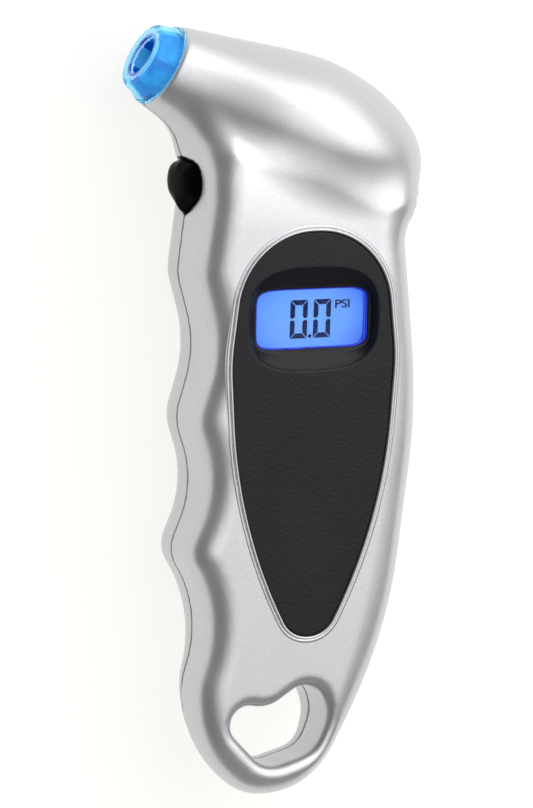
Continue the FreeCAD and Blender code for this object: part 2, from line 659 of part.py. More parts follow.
cell_frame = FreeCAD.Placement(FreeCAD.Vector(size("cell_x"), cell_low, size("cell_z")),
                               FreeCAD.Rotation(X_AXIS, -90))
cells = document.addObject("Part::Compound", "battery_cells")
cell_bodies = []
for index in range(3):
    place = cell_frame * shift(0, 0, index * size("cell_height"))
    can = cylinder("cell_can_%d" % index, "Sizes.cell_radius", "Sizes.cell_height - 0.5", place)
    cap = cylinder("cell_cap_%d" % index, "Sizes.cell_radius - 1", "Sizes.cell_height - 0.03", place)
    cell_bodies.append(fuse("cell_%d" % index, [can, cap]))
cells.Links = cell_bodies

spring_turns = document.addObject("Part::Helix", "spring_turns")
spring_turns.Pitch = 1.0
spring_turns.Height = 2.4
spring_turns.Radius = 3.2
document.recompute()
spring_section = Part.Wire([Part.Circle(FreeCAD.Vector(3.2, 0, 0), Y_AXIS, 0.25).toShape()])
spring_coil = Part.Wire(spring_turns.Shape.Edges).makePipeShell([spring_section], True, True)
contact_spring = document.addObject("Part::Feature", "battery_contact_spring")
contact_spring.Shape = spring_coil
contact_spring.Placement = cell_frame * shift(0, 0, -2.8)
rename(box("battery_contact_plate", 9.0, 0.4, 9.0,
           shift(size("cell_x") - 4.5, cell_low + cell_length + 0.1, size("cell_z") - 4.5)), "battery_contact_plate")

far_end = cell_low + cell_length + 1.15
near_end = bay_low - bay_wall - 0.9
under_board = face_at(0) - board_bottom - 0.6
hose("battery_lead_red", [FreeCAD.Vector(6.0, far_end, 8.5), FreeCAD.Vector(6.0, far_end, 11.7),
                          FreeCAD.Vector(6.0, 3.0, under_board)], [1.4], 0.5)
hose("battery_lead_black", [FreeCAD.Vector(0.0, near_end, 9.0), FreeCAD.Vector(-6.8, near_end, 9.4),
                            FreeCAD.Vector(-6.8, -12.0, 9.6), FreeCAD.Vector(-6.8, -1.0, under_board)],
     [2.6, 20.0], 0.5)

door_plate = prism("door_plate", door_corners(0.0), "Sizes.door_thick")
door_boss = cylinder("door_boss", 2.8, 2.4, shift(*DOOR_SCREW, 0))
door_head_sink = cylinder("door_head_sink", 2.1, 6.2, shift(*DOOR_SCREW, -5))
door_bore = cylinder("door_bore", 1.15, 6, shift(*DOOR_SCREW, -1))
door_sum = fuse("door_sum", [door_plate, door_boss])
rename(cut("battery_door", door_sum, [door_head_sink, door_bore]), "battery_door")
turned_body("battery_door_screw", closed_runs(screw_profile(1.8, 1.0, 0.8, 6.0)), shift(*DOOR_SCREW, 1.15))

# ---------------------------------------------------------------- check and write

NODES = [
    "front_casing", "rear_casing", "inlay_panel", "display_window", "lcd_glass", "lcd_backlight", "lcd_frame",
    "zebra_strip_upper", "zebra_strip_lower", "main_board", "controller_chip", "board_components",
    "board_screws", "casing_screws", "nozzle_light_ring", "chuck_core", "valve_gasket", "depressor_pin",
    "sensor_hose", "pressure_sensor", "hose_clamp_chuck", "hose_clamp_sensor", "nozzle_led", "led_lead_red",
    "led_lead_black", "power_button", "switch_body", "switch_plunger", "battery_cells",
    "battery_contact_spring", "battery_contact_plate", "battery_lead_red", "battery_lead_black",
    "battery_door", "battery_door_screw",
]

document.recompute()
failed = [item.Name for item in document.Objects if {"Invalid", "Error"} & set(item.State)]
if failed:
    raise RuntimeError("failed objects: " + ", ".join(failed))
os.makedirs("parts", exist_ok=True)
for node in NODES:
    item = document.getObjectsByLabel(node)[0]
    if item.Shape.isNull() or not item.Shape.isValid():
        raise RuntimeError("bad shape: " + node)
    item.Shape.exportStep("parts/%s.step" % node)
    bounds = item.Shape.BoundBox
    print("%-24s solids %d  volume %9.1f  x %.1f..%.1f  y %.1f..%.1f  z %.1f..%.1f" % (
        node, len(item.Shape.Solids), item.Shape.Volume, bounds.XMin, bounds.XMax, bounds.YMin, bounds.YMax,
        bounds.ZMin, bounds.ZMax))
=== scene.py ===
import json
import math
import bpy
import numpy as np
from mathutils import Matrix, Vector


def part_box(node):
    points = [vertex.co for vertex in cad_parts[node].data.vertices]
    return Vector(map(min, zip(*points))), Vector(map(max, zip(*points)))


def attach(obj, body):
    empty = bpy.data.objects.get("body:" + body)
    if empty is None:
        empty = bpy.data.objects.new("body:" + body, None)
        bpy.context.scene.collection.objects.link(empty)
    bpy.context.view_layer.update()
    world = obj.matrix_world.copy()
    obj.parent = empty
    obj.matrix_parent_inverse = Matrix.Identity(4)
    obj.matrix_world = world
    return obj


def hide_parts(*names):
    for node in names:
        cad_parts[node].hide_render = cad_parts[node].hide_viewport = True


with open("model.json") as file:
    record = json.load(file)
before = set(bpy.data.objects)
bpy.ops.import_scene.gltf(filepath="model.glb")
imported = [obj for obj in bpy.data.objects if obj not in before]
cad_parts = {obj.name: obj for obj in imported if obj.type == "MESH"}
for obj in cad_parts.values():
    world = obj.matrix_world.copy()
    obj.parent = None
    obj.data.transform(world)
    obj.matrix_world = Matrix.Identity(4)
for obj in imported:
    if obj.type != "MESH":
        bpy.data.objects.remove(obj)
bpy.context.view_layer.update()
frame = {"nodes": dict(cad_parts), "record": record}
record = frame["record"]
MM = 0.001

# ---------------------------------------------------------------- places, from the frame


def node_box(node):
    """Lowest and highest corner of a CAD node in millimetres."""
    low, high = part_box(node)
    return Vector(low) / MM, Vector(high) / MM


def mount_of(name):
    return [mount for mount in record["mounts"] if mount["name"] == name][0]


SPLIT_Z = node_box("front_casing")[0].z           # parting plane of the two casings
FACE_HEIGHT = 26.0                                # front face above the origin
FACE_SLOPE = math.tan(math.radians(2.86))         # its rise towards the head
valve = mount_of("valve_mouth")
NOZZLE_IN = -Vector(valve["axis"])                # from the mouth into the head
NOZZLE_SIDE = Vector((0, 0, 1)).cross(NOZZLE_IN)
CORE_RECESS = 3.2                                 # from the ring's face to the middle of the bore
MOUTH = Vector(valve["pos_m"]) / MM - NOZZLE_IN * CORE_RECESS
RING_LENGTH = 5.0                                 # light ring outside the casing
CORE_FACETS = 12                                  # flats round the core inside the ring
HEAD_ANGLE = math.radians(-23.7)
HEAD_ALONG = Vector((math.cos(HEAD_ANGLE), math.sin(HEAD_ANGLE), 0))
HEAD_SIDE = Vector((0, 0, 1)).cross(HEAD_ALONG)
HEAD_START = MOUTH + NOZZLE_IN * RING_LENGTH
plunger_low, plunger_high = node_box("switch_plunger")
BUTTON_Y = plunger_low.y / 2 + plunger_high.y / 2
lcd_low, lcd_high = node_box("lcd_glass")
DISPLAY = Vector(((lcd_low.x + lcd_high.x) / 2, (lcd_low.y + lcd_high.y) / 2 - 0.25))
GLASS_DEPTH = 4.6                                 # display below the front face
door_low, door_high = node_box("battery_door")

# Corners of closed outlines as (x, y, corner radius), counter-clockwise, in millimetres.
GRIP_OUTLINE = [
    (-18.4, 59.0, 5.0), (-18.3, 43.9, 25.0), (-20.5, 28.7, 11.5), (-16.5, 13.9, 24.1),
    (-21.1, -0.7, 9.9), (-16.8, -14.4, 21.1), (-22.8, -27.9, 7.1), (-15.0, -41.0, 24.1),
    (-20.2, -55.8, 17.6), (-18.5, -70.1, 23.5), (-8.4, -78.8, 11.2), (6.4, -79.4, 18.4),
    (24.1, -51.7, 93.3), (30.1, 0.5, 119.0), (26.2, 35.9, 10.0), (31.4, 46.2, 6.5),
]
HANG_HOLE = [
    (-20.4, -56.5, 3.8), (-4.7, -73.3, 6.6), (6.5, -70.3, 6.2),
    (9.8, -62.1, 8.1), (5.2, -54.2, 4.7), (-4.5, -60.5, 7.5),
]
INLAY_HALF = [(3.8, -45.5, 6.0), (15.8, -22.1, 103.2), (18.0, 11.5, 40.1), (15.0, 37.4, 16.2)]
BUTTON_OUTLINE = [
    (-5.8, 0.0, 0.7), (-0.6, -8.6, 4.0), (4.6, -6.6, 3.0),
    (5.8, 0.0, 1.5), (4.6, 6.6, 3.0), (-0.6, 8.6, 4.0),
]
CASING_SCREWS = [(-14.5, 28.5), (21.2, 24.0), (-15.5, -26.0), (18.5, -26.0), (19.5, 53.5), (2.0, -49.5)]
inlay_right = [(DISPLAY.x + x, y, r) for x, y, r in INLAY_HALF]
inlay_left = [(DISPLAY.x - x, y, r) for x, y, r in reversed(INLAY_HALF)]
INLAY_OUTLINE = inlay_right + inlay_left

# ---------------------------------------------------------------- camera


def place_camera():
    target = Vector((-1.5, 1.3, 14.0))
    turn, tilt, distance = math.radians(24), math.radians(7), 850.0
    towards = Vector((-math.sin(turn) * math.cos(tilt), math.sin(tilt), math.cos(turn) * math.cos(tilt)))
    right = Vector((math.cos(turn), 0, math.sin(turn)))
    upward = towards.cross(right)
    data = bpy.data.cameras.new("camera")
    data.sensor_width = 36.0
    data.lens = 4.9 * distance * data.sensor_width / 808
    data.clip_start = 0.05
    data.clip_end = 10.0
    camera = bpy.data.objects.new("camera", data)
    bpy.context.collection.objects.link(camera)
    pose = Matrix((right, upward, towards)).transposed().to_4x4()
    pose.translation = (target + towards * distance) * MM
    camera.matrix_world = pose
    bpy.context.scene.camera = camera


place_camera()

# ---------------------------------------------------------------- materials


class Shader:
    """A node material with short calls for the nodes that the materials here share."""

    def __init__(self, name, **inputs):
        self.material = bpy.data.materials.new(name)
        self.material.use_nodes = True
        self.tree = self.material.node_tree
        self.surface = self.tree.nodes["Principled BSDF"]
        self.coordinates = self.tree.nodes.new("ShaderNodeTexCoord").outputs["Object"]
        for socket, value in inputs.items():
            self.surface.inputs[socket.replace("_", " ")].default_value = value

    def link(self, source, target):
        self.tree.links.new(source, target)

    def noise(self, scale, detail=4.0, roughness=0.5, stretch=None):
        node = self.tree.nodes.new("ShaderNodeTexNoise")
        node.inputs["Scale"].default_value = scale
        node.inputs["Detail"].default_value = detail
        node.inputs["Roughness"].default_value = roughness
        source = self.coordinates
        if stretch:
            mapping = self.tree.nodes.new("ShaderNodeMapping")
            mapping.inputs["Scale"].default_value = stretch
            self.link(source, mapping.inputs["Vector"])
            source = mapping.outputs["Vector"]
        self.link(source, node.inputs["Vector"])
        return node.outputs["Fac"]

    def cells(self, scale, feature="F1"):
        node = self.tree.nodes.new("ShaderNodeTexVoronoi")
        node.feature = feature
        node.inputs["Scale"].default_value = scale
        self.link(self.coordinates, node.inputs["Vector"])
        return node.outputs["Distance"]

    def spread(self, source, low, high, start=0.35, end=0.65):
        """The source stretched from its usual range to the range low to high."""
        node = self.tree.nodes.new("ShaderNodeMapRange")
        node.inputs["From Min"].default_value = start
        node.inputs["From Max"].default_value = end
        node.inputs["To Min"].default_value = low
        node.inputs["To Max"].default_value = high
        self.link(source, node.inputs["Value"])
        return node.outputs["Result"]

    def ramp(self, source, stops):
        node = self.tree.nodes.new("ShaderNodeValToRGB")
        elements = node.color_ramp.elements
        while len(elements) < len(stops):
            elements.new(0.5)
        for element, (position, colour) in zip(elements, stops):
            element.position = position
            element.color = (*colour, 1)
        self.link(source, node.inputs["Fac"])
        return node.outputs["Color"]

    def bump(self, source, distance, strength=1.0, before=None):
        node = self.tree.nodes.new("ShaderNodeBump")
        node.inputs["Strength"].default_value = strength
        node.inputs["Distance"].default_value = distance
        self.link(source, node.inputs["Height"])
        if before is not None:
            self.link(before, node.inputs["Normal"])
        return node.outputs["Normal"]

    def add(self, kind, source, **settings):
        """A node of a kind, with its settings, fed by the source."""
        node = self.tree.nodes.new("ShaderNode" + kind)
        for name, value in settings.items():
            setattr(node, name, value)
        self.link(source, node.inputs[0])
        return node

    def feed(self, socket, source):
        self.link(source, self.surface.inputs[socket])


def silver_paint():
    shader = Shader("silver_paint", Metallic=0.82, Coat_Weight=0.12, Coat_Roughness=0.25)
    flake = shader.noise(2600.0, 2.0, 0.6)
    cloud = shader.noise(90.0, 3.0, 0.5)
    dark, light = (0.565, 0.565, 0.580), (0.635, 0.635, 0.650)
    shader.feed("Base Color", shader.ramp(flake, [(0.30, dark), (0.70, light)]))
    shader.feed("Roughness", shader.spread(cloud, 0.30, 0.36))
    shader.feed("Normal", shader.bump(flake, 0.00001, 0.2))
    return shader.material


def grained_plastic(name, dark, light, roughness, grain=0.00008):
    """Moulded plastic with a fine leather grain."""
    shader = Shader(name, Specular_IOR_Level=0.24)
    grain_cells = shader.cells(1500.0)
    fine = shader.noise(3800.0, 3.0, 0.6)
    cloud = shader.noise(60.0, 3.0, 0.5)
    shader.feed("Base Color", shader.ramp(cloud, [(0.35, dark), (0.65, light)]))
    shader.feed("Roughness", shader.spread(fine, roughness - 0.05, roughness + 0.07))
    first = shader.bump(grain_cells, grain, 0.5)
    shader.feed("Normal", shader.bump(fine, grain * 0.4, 0.4, first))
    return shader.material


def smooth_plastic(name, dark, light, roughness, **inputs):
    shader = Shader(name, **inputs)
    cloud = shader.noise(140.0, 3.0, 0.5)
    fine = shader.noise(1800.0, 3.0, 0.6)
    shader.feed("Base Color", shader.ramp(cloud, [(0.35, dark), (0.65, light)]))
    shader.feed("Roughness", shader.spread(fine, roughness * 0.85, roughness * 1.2))
    shader.feed("Normal", shader.bump(fine, 0.00002, 0.15))
    return shader.material


def metal(name, dark, light, roughness, stretch=(1.0, 1.0, 12.0)):
    """Machined or stamped metal with fine tool lines."""
    shader = Shader(name, Metallic=1.0)
    lines = shader.noise(900.0, 4.0, 0.6, stretch)
    cloud = shader.noise(200.0, 3.0, 0.5)
    shader.feed("Base Color", shader.ramp(cloud, [(0.35, dark), (0.65, light)]))
    shader.feed("Roughness", shader.spread(lines, roughness * 0.75, roughness * 1.3))
    shader.feed("Normal", shader.bump(lines, 0.00003, 0.3))
    return shader.material


def rubber(name, dark, light):
    shader = Shader(name, Specular_IOR_Level=0.3, Sheen_Weight=0.1)
    fine = shader.noise(2400.0, 4.0, 0.6)
    shader.feed("Base Color", shader.ramp(fine, [(0.35, dark), (0.65, light)]))
    shader.feed("Roughness", shader.spread(fine, 0.6, 0.8))
    shader.feed("Normal", shader.bump(fine, 0.00004, 0.4))
    return shader.material


def circuit_board():
    """Solder mask over faint copper tracks."""
    shader = Shader("circuit_board", Coat_Weight=0.3)
    tracks = shader.cells(420.0, "DISTANCE_TO_EDGE")
    fine = shader.noise(1200.0, 3.0)
    track_green, mask_green = (0.015, 0.16, 0.06), (0.006, 0.09, 0.035)
    shader.feed("Base Color", shader.ramp(tracks, [(0.03, track_green), (0.08, mask_green)]))
    shader.feed("Roughness", shader.spread(fine, 0.3, 0.42))
    shader.feed("Normal", shader.bump(tracks, 0.00003, 0.3))
    return shader.material


def clear_plastic(name, tint, roughness, **inputs):
    shader = Shader(name, Transmission_Weight=1.0, IOR=1.2, **inputs)
    fine = shader.noise(600.0, 2.0)
    lighter = tuple(min(1.0, part * 1.04) for part in tint)
    shader.feed("Base Color", shader.ramp(fine, [(0.35, tint), (0.65, lighter)]))
    shader.feed("Roughness", shader.spread(fine, roughness * 0.8, roughness * 1.2))
    return shader.material


def lit_display():
    """Blue display, brightest in the middle, with a deeper blue at its ends."""
    shader = Shader("lit_display", Roughness=0.35, Specular_IOR_Level=0.1)
    mapping = shader.add("Mapping", shader.coordinates)
    mapping.inputs["Location"].default_value = (-DISPLAY.x * MM, -DISPLAY.y * MM, 0.0)
    scaled = shader.add("VectorMath", mapping.outputs["Vector"], operation="MULTIPLY")
    glow_half = Vector((15.0, 10.5)) * MM
    scaled.inputs[1].default_value = (1 / glow_half.x, 1 / glow_half.y, 0.0)
    length = shader.add("VectorMath", scaled.outputs["Vector"], operation="LENGTH")
    glow = shader.ramp(length.outputs["Value"], [(0.0, (0.175, 0.43, 1.0)), (0.60, (0.125, 0.34, 0.98)),
                                                 (0.86, (0.075, 0.23, 0.90)), (1.0, (0.03, 0.11, 0.75))])
    shader.surface.inputs["Base Color"].default_value = (0.01, 0.02, 0.05, 1)
    shader.feed("Emission Color", glow)
    shader.surface.inputs["Emission Strength"].default_value = 1.0
    return shader.material


def lit_blue(name, dark, light, strength, roughness=0.2, **inputs):
    shader = Shader(name, **inputs)
    cloud = shader.noise(420.0, 3.0, 0.5)
    colour = shader.ramp(cloud, [(0.35, dark), (0.65, light)])
    shader.feed("Base Color", colour)
    shader.feed("Emission Color", colour)
    shader.surface.inputs["Emission Strength"].default_value = strength
    fine = shader.noise(1500.0, 2.0)
    shader.feed("Roughness", shader.spread(fine, roughness * 0.8, roughness * 1.2))
    return shader.material


def ring_plastic():
    """Translucent blue plastic that glows a little from the light behind it."""
    shader = Shader("ring_plastic", Transmission_Weight=0.93, IOR=1.10)
    cloud = shader.noise(260.0, 2.0)
    fine = shader.noise(1500.0, 2.0)
    shader.feed("Base Color", shader.ramp(cloud, [(0.35, (0.36, 0.80, 0.95)), (0.65, (0.50, 0.90, 1.0))]))
    shader.feed("Roughness", shader.spread(fine, 0.06, 0.14))
    shader.surface.inputs["Emission Color"].default_value = (0.03, 0.36, 0.80, 1)
    shader.surface.inputs["Emission Strength"].default_value = 0.07
    return shader.material


def core_plastic():
    """Deeper blue core with painted shading: a lighter or darker tone on each facet in place of the light
    that each facet catches, and a faint glow of painted light.
    """
    shader = Shader("core_plastic")
    facing = Matrix((NOZZLE_SIDE, NOZZLE_IN.cross(NOZZLE_SIDE), NOZZLE_IN)).transposed()
    mapping = shader.add("Mapping", shader.coordinates, vector_type="TEXTURE")
    mapping.inputs["Location"].default_value = MOUTH * MM
    mapping.inputs["Rotation"].default_value = facing.to_euler()
    around = shader.add("TexGradient", mapping.outputs["Vector"], gradient_type="RADIAL")
    facet = shader.add("Math", around.outputs["Fac"], operation="MULTIPLY")
    facet.inputs[1].default_value = CORE_FACETS
    number = shader.add("Math", facet.outputs["Value"], operation="FLOOR")
    # Painted shading: one random tone per facet, standing in for how each facet catches the light.
    painted_facet_shade = shader.tree.nodes.new("ShaderNodeTexWhiteNoise")
    painted_facet_shade.noise_dimensions = "1D"
    shader.link(number.outputs["Value"], painted_facet_shade.inputs["W"])
    total = shader.add("Math", painted_facet_shade.outputs["Value"], operation="ADD")
    shader.link(shader.spread(shader.noise(420.0, 1.0, 0.4), -0.15, 0.15), total.inputs[1])
    colour = shader.ramp(total.outputs["Value"], [(0.15, (0.0, 0.07, 0.45)), (0.50, (0.0, 0.20, 0.62)),
                                                  (0.85, (0.06, 0.40, 0.75))])
    fine = shader.noise(1500.0, 2.0)
    shader.feed("Base Color", colour)
    shader.feed("Emission Color", colour)
    # Painted light: the core glows a little, though it is no lamp.
    shader.surface.inputs["Emission Strength"].default_value = 0.3
    shader.feed("Roughness", shader.spread(fine, 0.15, 0.25))
    return shader.material


SILVER = silver_paint()
INLAY = grained_plastic("inlay_grain", (0.0065, 0.0065, 0.009), (0.009, 0.009, 0.012), 0.36)
BUTTON_BLACK = smooth_plastic("button_black", (0.0012, 0.0012, 0.0014), (0.002, 0.002, 0.0022), 0.2,
                              IOR=1.06)
BLACK_PLASTIC = smooth_plastic("black_plastic", (0.02, 0.02, 0.02), (0.03, 0.03, 0.03), 0.45)
WHITE_PLASTIC = smooth_plastic("white_plastic", (0.70, 0.70, 0.68), (0.78, 0.78, 0.76), 0.4)
CHIP_BLACK = smooth_plastic("chip_black", (0.015, 0.015, 0.016), (0.025, 0.025, 0.026), 0.55)
LIGHT_GUIDE = clear_plastic("light_guide", (0.86, 0.92, 0.97), 0.15)
STEEL = metal("zinc_steel", (0.50, 0.50, 0.52), (0.62, 0.62, 0.63), 0.3)
SPRING_STEEL = metal("spring_steel", (0.48, 0.47, 0.44), (0.60, 0.58, 0.55), 0.28)
BRASS = metal("turned_brass", (0.62, 0.42, 0.15), (0.75, 0.54, 0.24), 0.25)
CELL_CAN = metal("cell_can", (0.62, 0.62, 0.62), (0.74, 0.74, 0.73), 0.2)
BLACK_RUBBER = rubber("black_rubber", (0.012, 0.012, 0.012), (0.022, 0.022, 0.022))
RED_SLEEVE = rubber("red_sleeve", (0.42, 0.012, 0.012), (0.55, 0.02, 0.02))
BOARD = circuit_board()
WINDOW = clear_plastic("clear_window", (0.95, 0.97, 1.0), 0.02)
LCD = lit_display()
SEGMENT = smooth_plastic("segment_ink", (0.003, 0.012, 0.10), (0.004, 0.016, 0.13), 0.6,
                         Specular_IOR_Level=0.02)
LCD_EDGE = lit_blue("display_edge", (0.008, 0.012, 0.36), (0.02, 0.03, 0.62), 0.55)
RING_CLEAR = ring_plastic()
RING_CORE = core_plastic()
RING_LIGHT = lit_blue("ring_light", (0.30, 0.52, 0.86), (0.44, 0.66, 0.95), 0.45, 0.3)

# ---------------------------------------------------------------- outlines and fields


def outline_points(corners, spacing=0.5):
    """Points along straight runs and tangent arcs, counter-clockwise."""
    points = []
    count = len(corners)
    for index, (x, y, radius) in enumerate(corners):
        here = Vector((x, y))
        back = (Vector(corners[index - 1][:2]) - here).normalized()
        ahead = (Vector(corners[(index + 1) % count][:2]) - here).normalized()
        half_angle = back.angle(ahead) / 2
        middle_way = (back + ahead).normalized()
        centre = here + middle_way * (radius / math.sin(half_angle))
        start = here + back * (radius / math.tan(half_angle)) - centre
        sweep = math.pi - 2 * half_angle
        if back.cross(ahead) > 0:
            sweep = -sweep
        steps = max(2, round(abs(sweep) * radius / spacing))
        for step in range(steps + 1):
            angle = sweep * step / steps
            turned = Vector((start.x * math.cos(angle) - start.y * math.sin(angle),
                             start.x * math.sin(angle) + start.y * math.cos(angle)))
            points.append(centre + turned)
    return evenly_spaced(np.array([tuple(point) for point in points]), spacing)


def evenly_spaced(points, spacing=None, count=None):
    """Points at even steps along a closed outline, by spacing or by count."""
    closed = np.vstack([points, points[:1]])
    steps = np.linalg.norm(np.diff(closed, axis=0), axis=1)
    travelled = np.concatenate([[0], np.cumsum(steps)])
    if count is None:
        count = int(round(travelled[-1] / spacing))
    places = np.linspace(0, travelled[-1], count, endpoint=False)
    return np.stack([np.interp(places, travelled, closed[:, axis]) for axis in (0, 1)], axis=1)


def outline_distance(points, xs, ys):
    """Signed distance to a closed outline over a grid, negative inside."""
    after = np.roll(points, -1, axis=0)
    run = after - points
    length_squared = (run ** 2).sum(axis=1)
    result = np.empty((len(xs), len(ys)), dtype=np.float32)
    for index, x in enumerate(xs):
        offset = np.stack([np.full(len(ys), x), ys], axis=1)[:, None, :] - points[None, :, :]
        along = np.clip((offset * run).sum(axis=2) / length_squared, 0, 1)
        gap = offset - along[..., None] * run
        nearest = np.sqrt((gap ** 2).sum(axis=2).min(axis=1))
        above_start = points[None, :, 1] <= ys[:, None]
        above_end = after[None, :, 1] <= ys[:, None]
        crossing = above_start != above_end
        side = offset[..., 0] * run[:, 1] - offset[..., 1] * run[:, 0]
        hit = crossing & ((side < 0) == (run[:, 1] > 0))
        inside = hit.sum(axis=1) % 2 == 1
        result[index] = np.where(inside, -nearest, nearest)
    return result


def round_max(first, second, radius):
    """Intersection of two solids with a rounded edge between them."""
    outer = np.sqrt(np.maximum(first + radius, 0) ** 2 + np.maximum(second + radius, 0) ** 2) - radius
    return outer + np.minimum(np.maximum(first, second) + radius, 0)


def smooth_min(first, second, reach):
    """Union of two solids with a soft valley between them."""
    overlap = np.maximum(reach - np.abs(first - second), 0) / reach
    return np.minimum(first, second) - overlap ** 2 * reach / 4


def smooth_step(value, start, end):
    part = np.clip((value - start) / (end - start), 0, 1)
    return part * part * (3 - 2 * part)


VOXEL = 0.5
GRID_LOW = np.array([-32.25, -82.25, -2.25])
GRID_HIGH = np.array([36.25, 82.25, 33.25])
grid_x, grid_y, grid_z = (np.arange(low, high, VOXEL, dtype=np.float32)
                          for low, high in zip(GRID_LOW, GRID_HIGH))
X = grid_x[:, None, None]
Y = grid_y[None, :, None]
Z = grid_z[None, None, :]


def grid_outline(corners):
    return outline_distance(outline_points(corners), grid_x, grid_y)[:, :, None]


grip_distance = grid_outline(GRIP_OUTLINE)
hole_distance = grid_outline(HANG_HOLE)
inlay_distance = grid_outline(INLAY_OUTLINE)


def grip_field():
    """Block of the grip between its back and its face, which dips towards the head, with round edges."""
    dip_start, dip_length, dip_depth = 38.0, 24.0, 3.2
    face_dip = dip_depth * np.clip((Y - dip_start) / dip_length, 0, 1) ** 2
    above_face = (Z - (FACE_HEIGHT + FACE_SLOPE * Y - face_dip)) * math.cos(math.atan(FACE_SLOPE))
    tail_rise = 7.6
    below_back = tail_rise * smooth_step(-Y, 26.0, 82.0) - Z
    neck = smooth_step(Y, 46.0, 58.0) * smooth_step(-X, 2.0, 16.0)
    front_round = 6.0 + 3.0 * smooth_step(X, 2.0, 18.0) + 2.5 * neck
    neck_back = smooth_step(Y, 44.0, 56.0) * smooth_step(-X, 4.0, 14.0)
    back_round = 8.5 + 3.5 * neck_back
    front = round_max(grip_distance, above_face, front_round)
    back = round_max(grip_distance, below_back, back_round)
    return np.maximum(front, back)


HEAD_RADIUS = 8.75                                # where the head meets the light ring
HEAD_GROWTH = 0.215                               # growth of that radius along the cone
CONE_LENGTH = 20.0
WIDEST_PLACE = 34.0                               # along the head, where it is widest
WIDEST_RADIUS = 15.1
TAIL_LENGTH = 26.8                                # from the widest place to the tip of the back
CROWN = 0.25                                      # extra height of the head's front half


def head_radius(along):
    """Radius of the head: a straight cone, then a smooth swell to the widest place."""
    cone_radius = HEAD_RADIUS + HEAD_GROWTH * np.minimum(along, CONE_LENGTH)
    cone_end_radius = HEAD_RADIUS + HEAD_GROWTH * CONE_LENGTH
    swell_length = WIDEST_PLACE - CONE_LENGTH
    part = np.clip((along - CONE_LENGTH) / swell_length, 0, 1)
    from_cone = ((2 * part - 3) * part ** 2 + 1) * cone_end_radius
    from_growth = ((part - 2) * part + 1) * part * HEAD_GROWTH * swell_length
    from_widest = (3 - 2 * part) * part ** 2 * WIDEST_RADIUS
    return np.where(along < CONE_LENGTH, cone_radius, from_cone + from_growth + from_widest)


def head_field():
    """Head that grows from the nozzle and ends in a rounded back."""
    offset_x = X - HEAD_START.x
    offset_y = Y - HEAD_START.y
    along = offset_x * HEAD_ALONG.x + offset_y * HEAD_ALONG.y
    side = offset_x * HEAD_SIDE.x + offset_y * HEAD_SIDE.y
    height = Z - SPLIT_Z
    crown = 1 + CROWN * smooth_step(along, 1.0, 24.0)
    height = np.where(height > 0, height / crown, height)
    reach = np.sqrt(side ** 2 + height ** 2)
    front = (reach - head_radius(along)) * math.cos(math.atan(HEAD_GROWTH))
    tail = (along - WIDEST_PLACE) / TAIL_LENGTH
    scaled = np.sqrt(tail ** 2 + (reach / WIDEST_RADIUS) ** 2)
    steepness = np.sqrt((tail / TAIL_LENGTH) ** 2 + (reach / WIDEST_RADIUS ** 2) ** 2)
    back = scaled * (scaled - 1) / np.maximum(steepness, 1e-4)
    head = np.where(along < WIDEST_PLACE, front, back)
    return round_max(head, -Z, 6.0)


def spine_ribs():
    """Three low ribs across the spine behind the neck."""
    rib_height, rib_pitch = 0.22, 2.5
    run = (X - 29.6) * 0.42 + (Y - 41.0) * 0.91
    wave = rib_height * np.cos(run * 2 * math.pi / rib_pitch)
    near = np.exp(-((run / 3.4) ** 4)) * np.exp(-(((Z - 16.5) / 6.5) ** 4)) * smooth_step(X, 22.0, 26.0)
    return wave * near


def housing_field():
    """Outside of both casings together, with the mouth's plane and the hang hole."""
    neck_reach = 5.5 + 3.5 * smooth_step(-X, 12.0, 20.0)
    body = smooth_min(grip_field(), head_field(), neck_reach)
    body = np.maximum(body - spine_ribs(), -Z)
    mouth_plane = RING_LENGTH - ((X - MOUTH.x) * NOZZLE_IN.x + (Y - MOUTH.y) * NOZZLE_IN.y)
    body = round_max(body, mouth_plane, 0.6)
    return round_max(body, -hole_distance, 2.6)


def leaf_field(grow):
    """Prism of the button's outline through the neck wall."""
    points = outline_points([(y + BUTTON_Y, z + SPLIT_Z, r) for y, z, r in BUTTON_OUTLINE], 0.25)
    wall = outline_distance(points, grid_y, grid_z)[None, :, :] - grow
    return np.maximum(wall, X + 12.0)


def box_field(low, high, radius):
    """Upright block with rounded corners."""
    middle_x, middle_y = (low[0] + high[0]) / 2, (low[1] + high[1]) / 2
    wide = np.abs(X - middle_x) - (high[0] - low[0]) / 2 + radius
    long = np.abs(Y - middle_y) - (high[1] - low[1]) / 2 + radius
    corner = np.sqrt(np.maximum(wide, 0) ** 2 + np.maximum(long, 0) ** 2)
    flat = corner + np.minimum(np.maximum(wide, long), 0) - radius
    return np.maximum(flat, np.maximum(low[2] - Z, Z - high[2]))


def post_field(x, y, radius, low, high):
    return np.maximum(np.sqrt((X - x) ** 2 + (Y - y) ** 2) - radius, np.maximum(low - Z, Z - high))


PARTING_GAP = 0.09                                # half the seam between the casings
WALL = 3.0                                        # thickness of the casings
INLAY_ROOM = 0.2                                  # round the inlay, hidden under the bead
BELOW = -9.0                                      # a height well below the back


def carve(solid, hollow, radius=0.35):
    return round_max(solid, -hollow, radius)


